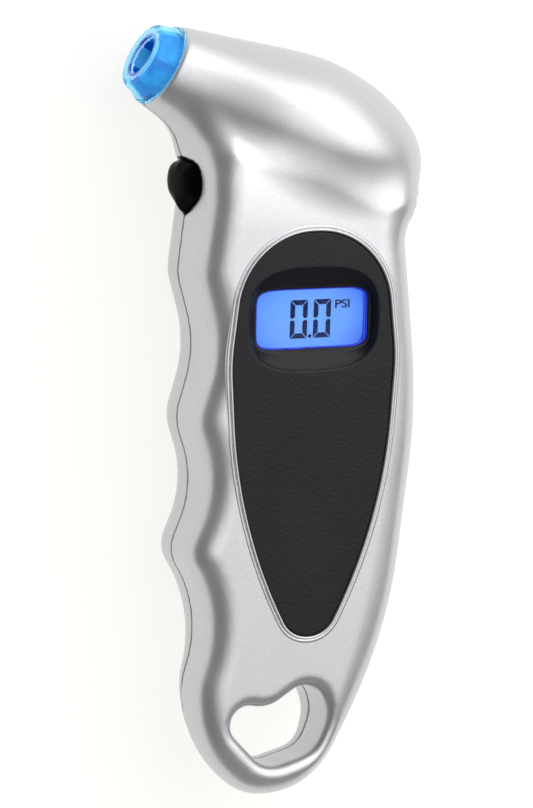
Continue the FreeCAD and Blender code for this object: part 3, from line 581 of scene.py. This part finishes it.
def casing_fields():
    """The two casings as hollow shells with their openings."""
    outside = housing_field()
    depth = FACE_HEIGHT + FACE_SLOPE * Y - Z
    mouth_along = (X - MOUTH.x) * NOZZLE_IN.x + (Y - MOUTH.y) * NOZZLE_IN.y
    mouth_side = (X - MOUTH.x) * NOZZLE_SIDE.x + (Y - MOUTH.y) * NOZZLE_SIDE.y
    mouth_reach = np.sqrt(mouth_side ** 2 + (Z - MOUTH.z) ** 2)
    mouth_bore = np.maximum(mouth_reach - 7.1, mouth_along - 10.4)
    hollow = np.maximum(outside + WALL, 12.2 - mouth_along)
    shell = np.maximum(outside, -hollow)
    shell = carve(shell, mouth_bore)
    shell = carve(shell, leaf_field(0.22))
    pocket = np.maximum(inlay_distance - INLAY_ROOM, depth - 1.7)
    tub = np.maximum(np.abs(X - DISPLAY.x) - 16.0, np.abs(Y - DISPLAY.y) - 11.8)
    tub = np.maximum(tub, inlay_distance + 0.6)
    front = np.maximum(np.maximum(shell, -tub), -pocket)
    front = round_max(front, SPLIT_Z + PARTING_GAP - Z, 0.3)
    rear = round_max(shell, Z - SPLIT_Z + PARTING_GAP, 0.3)
    for x, y in CASING_SCREWS:
        post = np.maximum(post_field(x, y, 3.2, 1.0, SPLIT_Z - 1), outside)
        rear = carve(np.minimum(rear, post), post_field(x, y, 2.25, BELOW, 6.0))
    door_gap = 0.22
    door_room = box_field((door_low.x - door_gap, door_low.y - door_gap, BELOW),
                          (door_high.x + door_gap, door_high.y + door_gap - 0.6, 1.55), 2.7)
    rear = carve(rear, door_room)
    cells_low, cells_high = node_box("battery_cells")
    bay = box_field((cells_low.x - 0.6, cells_low.y - 3.4, BELOW),
                    (cells_high.x + 0.6, cells_high.y + 1.2, 5), 0.8)
    return front, np.maximum(rear, -bay)


# ---------------------------------------------------------------- skins from fields


def sample(volume, points):
    """Values of a grid volume at points given in grid steps."""
    limit = np.array(volume.shape) - 2
    base = np.clip(np.floor(points).astype(np.int32), 0, limit)
    part = points - base
    total = np.zeros(len(points), dtype=np.float32)
    for corner in range(8):
        step = np.array([(corner >> axis) & 1 for axis in range(3)])
        weight = np.prod(np.where(step == 1, part, 1 - part), axis=1)
        place = base + step
        total += weight * volume[place[:, 0], place[:, 1], place[:, 2]]
    return total


def field_surface(volume):
    """Closed mesh of the zero surface: one point per crossed cell, one quad per crossed edge."""
    inside = volume < 0
    shape = np.array(volume.shape)
    cell_shape = shape - 1
    total = np.zeros((*cell_shape, 3), dtype=np.float32)
    crossings = np.zeros(cell_shape, dtype=np.float32)
    for axis in range(3):
        others = [other for other in range(3) if other != axis]
        for first in (0, 1):
            for second in (0, 1):
                start = [slice(0, -1)] * 3
                start[others[0]] = slice(first, shape[others[0]] - 1 + first)
                start[others[1]] = slice(second, shape[others[1]] - 1 + second)
                end = list(start)
                end[axis] = slice(1, None)
                low, high = volume[tuple(start)], volume[tuple(end)]
                crossed = inside[tuple(start)] != inside[tuple(end)]
                part = np.where(crossed, low / np.where(crossed, low - high, 1), 0)
                crossings += crossed
                total[..., axis] += part
                total[..., others[0]] += crossed * first
                total[..., others[1]] += crossed * second
    used = crossings > 0
    cells = np.argwhere(used)
    points = cells + total[used] / crossings[used][:, None]
    numbers = np.full(cell_shape, -1, dtype=np.int32)
    numbers[used] = np.arange(len(cells))
    gradients = np.gradient(volume)
    for _ in range(3):
        value = sample(volume, points)
        slope = np.stack([sample(gradient, points) for gradient in gradients], axis=1)
        step = value[:, None] * slope / np.maximum((slope ** 2).sum(axis=1), 0.02)[:, None]
        points = points - np.clip(step, -0.35, 0.35)
    quads = []
    for axis in range(3):
        second, third = (axis + 1) % 3, (axis + 2) % 3
        start = [slice(None)] * 3
        end = [slice(None)] * 3
        start[axis] = slice(0, -1)
        end[axis] = slice(1, None)
        leaving = inside[tuple(start)] & ~inside[tuple(end)]
        entering = ~inside[tuple(start)] & inside[tuple(end)]
        for crossed, order in ((leaving, 1), (entering, -1)):
            edges = np.argwhere(crossed)
            corners = []
            for step_second, step_third in ((-1, -1), (0, -1), (0, 0), (-1, 0))[::order]:
                cell = edges.copy()
                cell[:, second] += step_second
                cell[:, third] += step_third
                corners.append(numbers[cell[:, 0], cell[:, 1], cell[:, 2]])
            quads.append(np.stack(corners, axis=1))
    return points * VOXEL + GRID_LOW, np.concatenate(quads)


def add_object(name, mesh, material, body="root", smooth=True):
    mesh.materials.append(material)
    mesh.polygons.foreach_set("use_smooth", [smooth] * len(mesh.polygons))
    piece = bpy.data.objects.new(name, mesh)
    bpy.context.collection.objects.link(piece)
    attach(piece, body)
    return piece


def mesh_from(name, points, faces):
    """Mesh from points in millimetres."""
    mesh = bpy.data.meshes.new(name)
    places = [tuple(point) for point in np.asarray(points) * MM]
    mesh.from_pydata(places, [], [tuple(face) for face in faces])
    mesh.validate()
    mesh.update()
    return mesh


def field_piece(name, volume, material):
    points, quads = field_surface(volume)
    return add_object(name, mesh_from(name, points, quads.tolist()), material)


# ---------------------------------------------------------------- pieces from rings


def ring_mesh(name, rings, closed=False, capped=(False, False)):
    """Skin over rings of points; closed joins the last ring to the first."""
    count = len(rings[0])
    points = np.concatenate(rings)
    faces = []
    pairs = len(rings) if closed else len(rings) - 1
    for ring in range(pairs):
        low = ring * count
        high = ((ring + 1) % len(rings)) * count
        for step in range(count):
            after = (step + 1) % count
            faces.append((low + step, low + after, high + after, high + step))
    if capped[0]:
        faces.append(tuple(reversed(range(count))))
    if capped[1]:
        faces.append(tuple(range(len(points) - count, len(points))))
    return mesh_from(name, points, faces)


def on_face(flat_points, depth):
    """Points over the front face at a depth below it."""
    flat = np.asarray(flat_points)
    depth = np.broadcast_to(np.asarray(depth, dtype=float), len(flat))
    tilt = math.atan(FACE_SLOPE)
    heights = FACE_HEIGHT + FACE_SLOPE * flat[:, 1] - depth / math.cos(tilt)
    return np.column_stack([flat[:, 0], flat[:, 1], heights])


def outward(points):
    """Unit directions that point out of a closed counter-clockwise outline."""
    along = np.roll(points, -1, axis=0) - np.roll(points, 1, axis=0)
    along /= np.linalg.norm(along, axis=1)[:, None]
    return np.column_stack([along[:, 1], -along[:, 0]])


def turned(name, profile, material, steps=128, facets=None):
    """Piece turned about the nozzle's axis from (radius, distance from the mouth) points."""
    rings = []
    for radius, along in profile:
        ring = []
        for step in range(steps):
            angle = 2 * math.pi * step / steps
            reach = radius
            if facets:
                sector = (angle % (2 * math.pi / facets)) - math.pi / facets
                reach = radius * math.cos(math.pi / facets) / math.cos(sector)
            place = (MOUTH + NOZZLE_IN * along + NOZZLE_SIDE * (reach * math.cos(angle))
                     + Vector((0, 0, reach * math.sin(angle))))
            ring.append(tuple(place))
        rings.append(np.array(ring))
    return add_object(name, ring_mesh(name, rings, closed=True), material, smooth=facets is None)


def rounded_profile(points, radius, steps=4):
    """The profile with its corners rounded by short curves."""
    result = []
    count = len(points)
    for index in range(count):
        here = Vector(points[index])
        back = Vector(points[index - 1]) - here
        ahead = Vector(points[(index + 1) % count]) - here
        reach = min(radius, back.length * 0.45, ahead.length * 0.45)
        start = here + back.normalized() * reach
        end = here + ahead.normalized() * reach
        for step in range(steps + 1):
            part = step / steps
            result.append(tuple(start * (1 - part) ** 2 + here * (2 * part * (1 - part)) + end * part ** 2))
    return result


# ---------------------------------------------------------------- casings


def build_casings():
    front, rear = casing_fields()
    for name, volume, node in (("front_shell", front, "front_casing"), ("rear_shell", rear, "rear_casing")):
        piece = field_piece(name, volume, SILVER)
        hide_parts(node)


def build_bead():
    """Thin raised bead round the inlay, a fine groove outside it, and the rim of the casing round both."""
    points = outline_points(INLAY_OUTLINE, 0.5)
    normals = outward(points)
    inner, outer, height = 0.06, 0.70, 0.42
    rim = [(1.4, 0.8), (1.4, -0.005), (1.02, -0.03), (0.88, -0.02)]
    groove = [(0.82, 0.05), (0.79, 0.2), (outer, 0.2)]
    profile = rim + groove
    for step in range(9):
        angle = math.pi * step / 8
        across = 0.5 + 0.5 * math.cos(angle)
        profile.append((inner + (outer - inner) * across, 0.05 - height * math.sin(angle)))
    profile += [(inner, 0.06), (inner, 1.5), (0.6, 1.5)]
    rings = [on_face(points + normals * reach, depth) for reach, depth in profile]
    piece = add_object("inlay_bead", ring_mesh("inlay_bead", rings, closed=True), SILVER)


# ---------------------------------------------------------------- inlay and display

WELL_HALF = Vector((14.1, 10.2))
WELL_POWER = 3.0
GLASS_HALF = Vector((12.4, 6.15))
GLASS_SHIFT = np.array((0.5, 0.0))


def super_ring(angles, half, power):
    """Rounded-rectangle ring about the display's centre."""
    cosines, sines = np.cos(angles), np.sin(angles)
    reach = (np.abs(cosines / half.x) ** power + np.abs(sines / half.y) ** power) ** (-1 / power)
    return np.column_stack([cosines * reach, sines * reach]) + np.array(DISPLAY)


def ray_ring(outline, angles):
    """Where rays from the display's centre meet a closed outline."""
    offset = outline - np.array(DISPLAY)
    bearing = np.unwrap(np.arctan2(offset[:, 1], offset[:, 0]))
    reach = np.linalg.norm(offset, axis=1)
    order = np.argsort(bearing % (2 * math.pi))
    distance = np.interp(angles % (2 * math.pi), (bearing % (2 * math.pi))[order], reach[order],
                         period=2 * math.pi)
    return np.column_stack([np.cos(angles) * distance, np.sin(angles) * distance]) + np.array(DISPLAY)


def build_inlay():
    outline = outline_points(INLAY_OUTLINE, 0.2)
    angles = np.linspace(0, 2 * math.pi, 480, endpoint=False)
    edge = ray_ring(outline, angles)
    centre = np.array(DISPLAY)
    well_rim = super_ring(angles, WELL_HALF, WELL_POWER)
    well_foot = super_ring(angles, Vector((12.9, 6.75)), 6.0) + GLASS_SHIFT
    rings = []

    def between(first, second, part):
        return first * (1 - part) + second * part

    inward = (centre - edge) / np.linalg.norm(centre - edge, axis=1)[:, None]
    rings.append(on_face(edge, 1.5))
    rings.append(on_face(edge, 0.32))
    rings.append(on_face(edge + inward * 0.08, 0.2))
    rings.append(on_face(edge + inward * 0.25, 0.13))
    rings.append(on_face(edge + inward * 0.5, 0.12))
    rim_round = 0.7
    spokes = well_rim - centre
    outer_rim = well_rim + spokes / np.linalg.norm(spokes, axis=1)[:, None] * rim_round
    flat_start = edge + inward * 0.5
    for step in range(1, 17):
        rings.append(on_face(between(flat_start, outer_rim, step / 16), 0.12))
    well_depth = 2.2
    rim_sweep = math.radians(62)
    for step in range(1, 9):
        angle = rim_sweep * step / 8
        reach = math.sin(angle) / math.sin(rim_sweep)
        sink = 0.12 + 0.35 * (1 - math.cos(angle)) / (1 - math.cos(rim_sweep))
        rings.append(on_face(between(outer_rim, well_rim, reach), sink))
    for step in range(1, 7):
        part = step / 6
        rings.append(on_face(between(well_rim, well_foot, part), 0.47 + (well_depth - 0.47) * part))
    glass = super_ring(angles, GLASS_HALF, 7.0) + GLASS_SHIFT
    for part, depth in ((0.5, 2.25), (0.85, 2.3), (0.97, 2.36), (1.0, 2.5)):
        rings.append(on_face(between(well_foot, glass, part), depth))
    rings.append(on_face(glass, 3.4))
    rings.append(on_face(super_ring(angles, Vector((13.6, 7.3)), 7.0), 3.45))
    rings.append(on_face(super_ring(angles, Vector((15.6, 11.4)), 4.5), 3.4))
    rings.append(on_face(between(edge, centre, 0.02), 1.55))
    piece = add_object("inlay_skin", ring_mesh("inlay_skin", rings[::-1], closed=True), INLAY)
    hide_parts("inlay_panel")


def build_display():
    angles = np.linspace(0, 2 * math.pi, 192, endpoint=False)
    cell_half = Vector((13.2, 7.1))
    face_rings = [on_face(super_ring(angles, cell_half, 7.0), depth) for depth in (6.1, GLASS_DEPTH)]
    for part in (0.9, 0.75, 0.5, 0.25, 0.02):
        face_rings.append(on_face(super_ring(angles, cell_half * part, 7.0), GLASS_DEPTH))
    mesh = ring_mesh("display_cell", face_rings, capped=(True, True))
    piece = add_object("display_cell", mesh, LCD, smooth=False)
    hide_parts("lcd_glass")
    shift = (GLASS_SHIFT[0], 0.0)
    rings = []
    for shrink, depth in ((0.02, 2.62), (0.02, 4.54), (0.30, 4.54), (0.22, 2.62)):
        rings.append(on_face(super_ring(angles, GLASS_HALF - Vector((shrink, shrink)), 7.0) + shift, depth))
    edge = add_object("display_edge", ring_mesh("display_edge", rings, closed=True), LCD_EDGE)
    build_window(angles)


def build_window(angles):
    half = GLASS_HALF - Vector((0.34, 0.34))
    rings = []
    for shrink, depth in ((0.25, 3.45), (0.0, 3.35), (0.0, 2.95), (0.12, 2.83), (0.3, 2.78)):
        rings.append(on_face(super_ring(angles, half - Vector((shrink, shrink)), 7.0) + GLASS_SHIFT, depth))
    mesh = ring_mesh("window_plate", rings, capped=(True, True))
    piece = add_object("window_plate", mesh, WINDOW)
    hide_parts("display_window")


def flat_shape(points, depth, thickness, all_points, all_faces):
    """Adds a flat plate of an outline to lists of points and faces."""
    first = len(all_points)
    count = len(points)
    for level in (depth, depth + thickness):
        all_points.extend(tuple(point) for point in on_face(points, level))
    all_faces.append(tuple(range(first, first + count)))
    all_faces.append(tuple(reversed(range(first + count, first + 2 * count))))
    for step in range(count):
        after = (step + 1) % count
        all_faces.append((first + step, first + count + step, first + count + after, first + after))


INK_THICKNESS = 0.1
INK_DEPTH = GLASS_DEPTH - 0.12


def build_digits():
    """Seven-segment 0.0 and a small unit, printed on the display."""
    width, height, stroke, lean = 3.8, 7.7, 1.02, 0.02
    gap = 0.13
    low = DISPLAY.y - 4.1
    points, faces = [], []

    def slanted(shape, left):
        return [(left + x + lean * y, low + y) for x, y in shape]

    half = height / 2
    for left in (DISPLAY.x - 3.56, DISPLAY.x + 1.6):
        bottom = [(gap, 0), (width - gap, 0), (width - stroke - gap, stroke), (stroke + gap, stroke)]
        top = [(x, height - y) for x, y in reversed(bottom)]
        lower_left = [(0, gap), (stroke, stroke + gap), (stroke, half - stroke * 0.5),
                      (stroke * 0.5, half - gap), (0, half - stroke * 0.35)]
        lower_right = [(width - x, y) for x, y in reversed(lower_left)]
        upper_left = [(x, height - y) for x, y in reversed(lower_left)]
        upper_right = [(width - x, height - y) for x, y in lower_left]
        for shape in (bottom, top, lower_left, lower_right, upper_left, upper_right):
            flat_shape(slanted(shape, left), INK_DEPTH, INK_THICKNESS, points, faces)
    dot_angles = [step * math.pi / 8 for step in range(16)]
    dot = [(0.36 * math.cos(angle), 0.4 + 0.38 * math.sin(angle)) for angle in dot_angles]
    flat_shape(slanted(dot, DISPLAY.x + 0.92), INK_DEPTH, INK_THICKNESS, points, faces)
    piece = add_object("display_digits", mesh_from("display_digits", points, faces), SEGMENT, smooth=False)
    build_unit_mark()


def build_unit_mark():
    """The unit beside the digits, in plain letters."""
    text = bpy.data.curves.new("display_unit", "FONT")
    text.body = "PSI"
    text.size = 2.35 * MM
    text.offset = 0.035 * MM
    text.extrude = 0.05 * MM
    text.space_character = 0.98
    unit = bpy.data.objects.new("display_unit", text)
    bpy.context.collection.objects.link(unit)
    place = on_face([(DISPLAY.x + 6.3, DISPLAY.y + 1.75)], GLASS_DEPTH - 0.07)[0]
    tilt = Matrix.Rotation(math.atan(FACE_SLOPE), 4, "X")
    widening = Matrix.Diagonal((1.25, 1.0, 1.0, 1.0))
    unit.matrix_world = Matrix.Translation(Vector(place) * MM) @ tilt @ widening
    mesh = bpy.data.meshes.new_from_object(unit.evaluated_get(bpy.context.evaluated_depsgraph_get()))
    mesh.transform(unit.matrix_world)
    bpy.data.objects.remove(unit)
    mesh.materials.clear()
    letters = add_object("display_unit_mark", mesh, SEGMENT, smooth=False)


# ---------------------------------------------------------------- nozzle


def build_nozzle():
    ring_profile = [(5.5, 0.35), (5.75, 0.0), (6.5, 0.0), (7.0, 0.55), (8.0, RING_LENGTH - 1.15),
                    (8.45, RING_LENGTH - 1.0), (8.5, RING_LENGTH - 0.62), (8.35, RING_LENGTH - 0.5),
                    (8.55, RING_LENGTH - 0.4), (8.55, RING_LENGTH - 0.04), (7.6, RING_LENGTH - 0.02),
                    (7.3, 3.9), (6.15, 1.0), (5.5, 0.9)]
    ring = turned("light_ring", rounded_profile(ring_profile, 0.3), RING_CLEAR)
    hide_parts("nozzle_light_ring")
    core_profile = [(4.2, 0.95), (5.4, 0.95), (5.95, 1.15), (7.15, 4.0), (7.15, 4.9), (6.75, 5.1),
                    (6.75, 8.3), (4.2, 8.4)]
    core = turned("chuck_core_skin", core_profile, RING_CORE, steps=96, facets=CORE_FACETS)
    lip_profile = [(4.12, 0.75), (4.3, 0.3), (5.1, 0.16), (5.35, 0.35), (5.35, 0.9), (4.12, 1.2)]
    lip = turned("chuck_lip", rounded_profile(lip_profile, 0.15), RING_LIGHT)


def build_button():
    """Leaf-shaped cap with a domed face."""
    outline = outline_points([(y, z, r) for y, z, r in BUTTON_OUTLINE], 0.3)
    outline = evenly_spaced(outline, count=96)
    rings = []
    foot_x, wall_x, crown_x = -16.0, -17.7, -20.8

    def level(scale, x):
        return np.column_stack([np.full(len(outline), x), outline[:, 0] * scale + BUTTON_Y,
                                outline[:, 1] * scale + SPLIT_Z])

    rings.append(level(0.94, foot_x))
    rings.append(level(1.0, foot_x - 0.3))
    rings.append(level(1.0, wall_x))
    for step in range(1, 15):
        angle = math.pi / 2 * step / 14
        scale = math.cos(angle) ** 0.62
        rings.append(level(max(scale, 0.03), wall_x + (crown_x - wall_x) * math.sin(angle)))
    mesh = ring_mesh("button_cap", rings[::-1], capped=(True, True))
    piece = add_object("button_cap", mesh, BUTTON_BLACK, "power_button")
    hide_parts("power_button")


def build_door():
    """Battery door with rounded edges and three finger ridges."""
    length = door_high.x - door_low.x
    middle_x = (door_low.x + door_high.x) / 2
    corner = 2.5
    high_y = door_low.y + 28.2
    corners = [(door_low.x, door_low.y, corner), (door_high.x, door_low.y, corner),
               (door_high.x, high_y, corner), (door_low.x, high_y, corner)]
    outline = outline_points(corners, 0.4)
    normals = outward(outline)
    rings = []
    for shrink, z in ((0.0, 1.2), (0.0, 0.6), (0.1, 0.37), (0.35, 0.27), (0.8, 0.25)):
        flat = outline - normals * shrink
        rings.append(np.column_stack([flat, np.full(len(flat), z)]))
    mesh = ring_mesh("door_plate", rings[::-1], capped=(True, True))
    piece = add_object("door_plate", mesh, SILVER, "battery_door")
    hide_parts("battery_door")
    build_door_ridges(middle_x, length * 0.3)


def build_door_ridges(middle_x, half_length):
    """Three round ridges across the door, for a finger to push against."""
    foot_z = 0.5
    left, right = middle_x - half_length, middle_x + half_length
    for index in range(3):
        y = door_low.y + 4.0 + index * 1.8
        rings = []
        for step in range(9):
            angle = math.pi * step / 8
            across, z = y + 0.5 * math.cos(angle), 0.28 - 0.27 * math.sin(angle)
            rings.append(np.array([(left, across, z), (right, across, z),
                                   (right, across, foot_z), (left, across, foot_z)]))
        mesh = ring_mesh("door_ridge", rings, capped=(True, True))
        ridge = add_object("door_ridge_%d" % (index + 1), mesh, SILVER, "battery_door")


CARRIED_MATERIALS = {
    "lcd_backlight": LIGHT_GUIDE, "lcd_frame": WHITE_PLASTIC, "zebra_strip_upper": BLACK_RUBBER,
    "zebra_strip_lower": BLACK_RUBBER, "main_board": BOARD, "controller_chip": CHIP_BLACK,
    "board_components": CHIP_BLACK, "board_screws": STEEL, "casing_screws": STEEL, "chuck_core": RING_CORE,
    "valve_gasket": BLACK_RUBBER, "depressor_pin": BRASS, "sensor_hose": BLACK_RUBBER,
    "pressure_sensor": WHITE_PLASTIC, "hose_clamp_chuck": SPRING_STEEL, "hose_clamp_sensor": SPRING_STEEL,
    "nozzle_led": RING_LIGHT, "led_lead_red": RED_SLEEVE, "led_lead_black": BLACK_RUBBER,
    "switch_body": BLACK_PLASTIC, "switch_plunger": WHITE_PLASTIC, "battery_cells": CELL_CAN,
    "battery_contact_spring": SPRING_STEEL, "battery_contact_plate": SPRING_STEEL,
    "battery_lead_red": RED_SLEEVE, "battery_lead_black": BLACK_RUBBER, "battery_door_screw": STEEL,
}


def dress_carried_nodes():
    for node, material in CARRIED_MATERIALS.items():
        slots = frame["nodes"][node].material_slots
        for slot in slots:
            slot.material = material


# ---------------------------------------------------------------- stage and light


def build_stage():
    shader = Shader("pale_floor", Roughness=0.9, Specular_IOR_Level=0.1)
    cloud = shader.noise(3.0, 2.0)
    shader.surface.inputs["Emission Color"].default_value = (1.0, 1.0, 0.97, 1)
    shader.surface.inputs["Emission Strength"].default_value = 0.84
    shader.feed("Base Color", shader.ramp(cloud, [(0.3, (0.19, 0.19, 0.185)), (0.7, (0.21, 0.21, 0.205))]))
    reach = 3000.0
    mesh = mesh_from("floor", [(-reach, -reach, -0.05), (reach, -reach, -0.05), (reach, reach, -0.05),
                               (-reach, reach, -0.05)], [(0, 1, 2, 3)])
    mesh.materials.append(shader.material)
    floor = bpy.data.objects.new("floor", mesh)
    bpy.context.collection.objects.link(floor)


def soft_light(name, place, aim, length, width, power, colour=(1, 1, 1)):
    data = bpy.data.lights.new(name, "AREA")
    data.shape = "RECTANGLE"
    data.size = length
    data.size_y = width
    data.energy = power
    data.color = colour
    light = bpy.data.objects.new(name, data)
    bpy.context.collection.objects.link(light)
    direction = Vector(aim) - Vector(place)
    light.matrix_world = Matrix.Translation(place) @ direction.to_track_quat("-Z", "Y").to_matrix().to_4x4()


# Soft lobes of the sky as (direction, cosine where it starts, cosine where it is full, level).
SKY_BASE = 0.19
SKY_LOBES = [
    ((0.52, 0.50, 0.69), 0.25, 1.05, 1.0),
    ((0.0, 0.0, 1.0), 0.74, 1.0, 0.70),
    ((0.40, 0.74, 0.52), 0.80, 1.0, 0.60),
    ((0.0, -0.99, 0.1), 0.6, 1.0, 0.12),
]


def build_sky():
    """Even studio surroundings with soft bright lobes, darkest low on the left."""
    world = bpy.data.worlds.new("studio")
    world.use_nodes = True
    tree = world.node_tree
    direction = tree.nodes.new("ShaderNodeTexCoord").outputs["Generated"]
    total = None
    for heading, start, full, level in SKY_LOBES:
        facing = tree.nodes.new("ShaderNodeVectorMath")
        facing.operation = "DOT_PRODUCT"
        facing.inputs[1].default_value = Vector(heading).normalized()
        tree.links.new(direction, facing.inputs[0])
        lobe = tree.nodes.new("ShaderNodeMapRange")
        lobe.interpolation_type = "SMOOTHSTEP"
        lobe.inputs["From Min"].default_value = start
        lobe.inputs["From Max"].default_value = full
        lobe.inputs["To Max"].default_value = level
        tree.links.new(facing.outputs["Value"], lobe.inputs["Value"])
        add = tree.nodes.new("ShaderNodeMath")
        add.operation = "ADD"
        add.inputs[1].default_value = SKY_BASE
        tree.links.new(lobe.outputs["Result"], add.inputs[0])
        if total is not None:
            tree.links.new(total, add.inputs[1])
        total = add.outputs["Value"]
    tree.links.new(total, tree.nodes["Background"].inputs["Strength"])
    tree.nodes["Background"].inputs["Color"].default_value = (1.0, 1.0, 1.005, 1)
    bpy.context.scene.world = world


def build_lights():
    build_sky()
    soft_light("head_softbox", (0.16, 0.52, 0.50), (0, 0.03, 0.02), 0.5, 0.4, 0.5)
    soft_light("key_softbox", (0.31, 0.09, 0.36), (0.10, -0.01, 0.02), 0.36, 0.34, 0.35)
    bpy.context.scene.view_settings.view_transform = "Standard"


build_casings()
build_bead()
build_inlay()
build_display()
build_digits()
build_nozzle()
build_button()
build_door()
dress_carried_nodes()
build_stage()
build_lights()
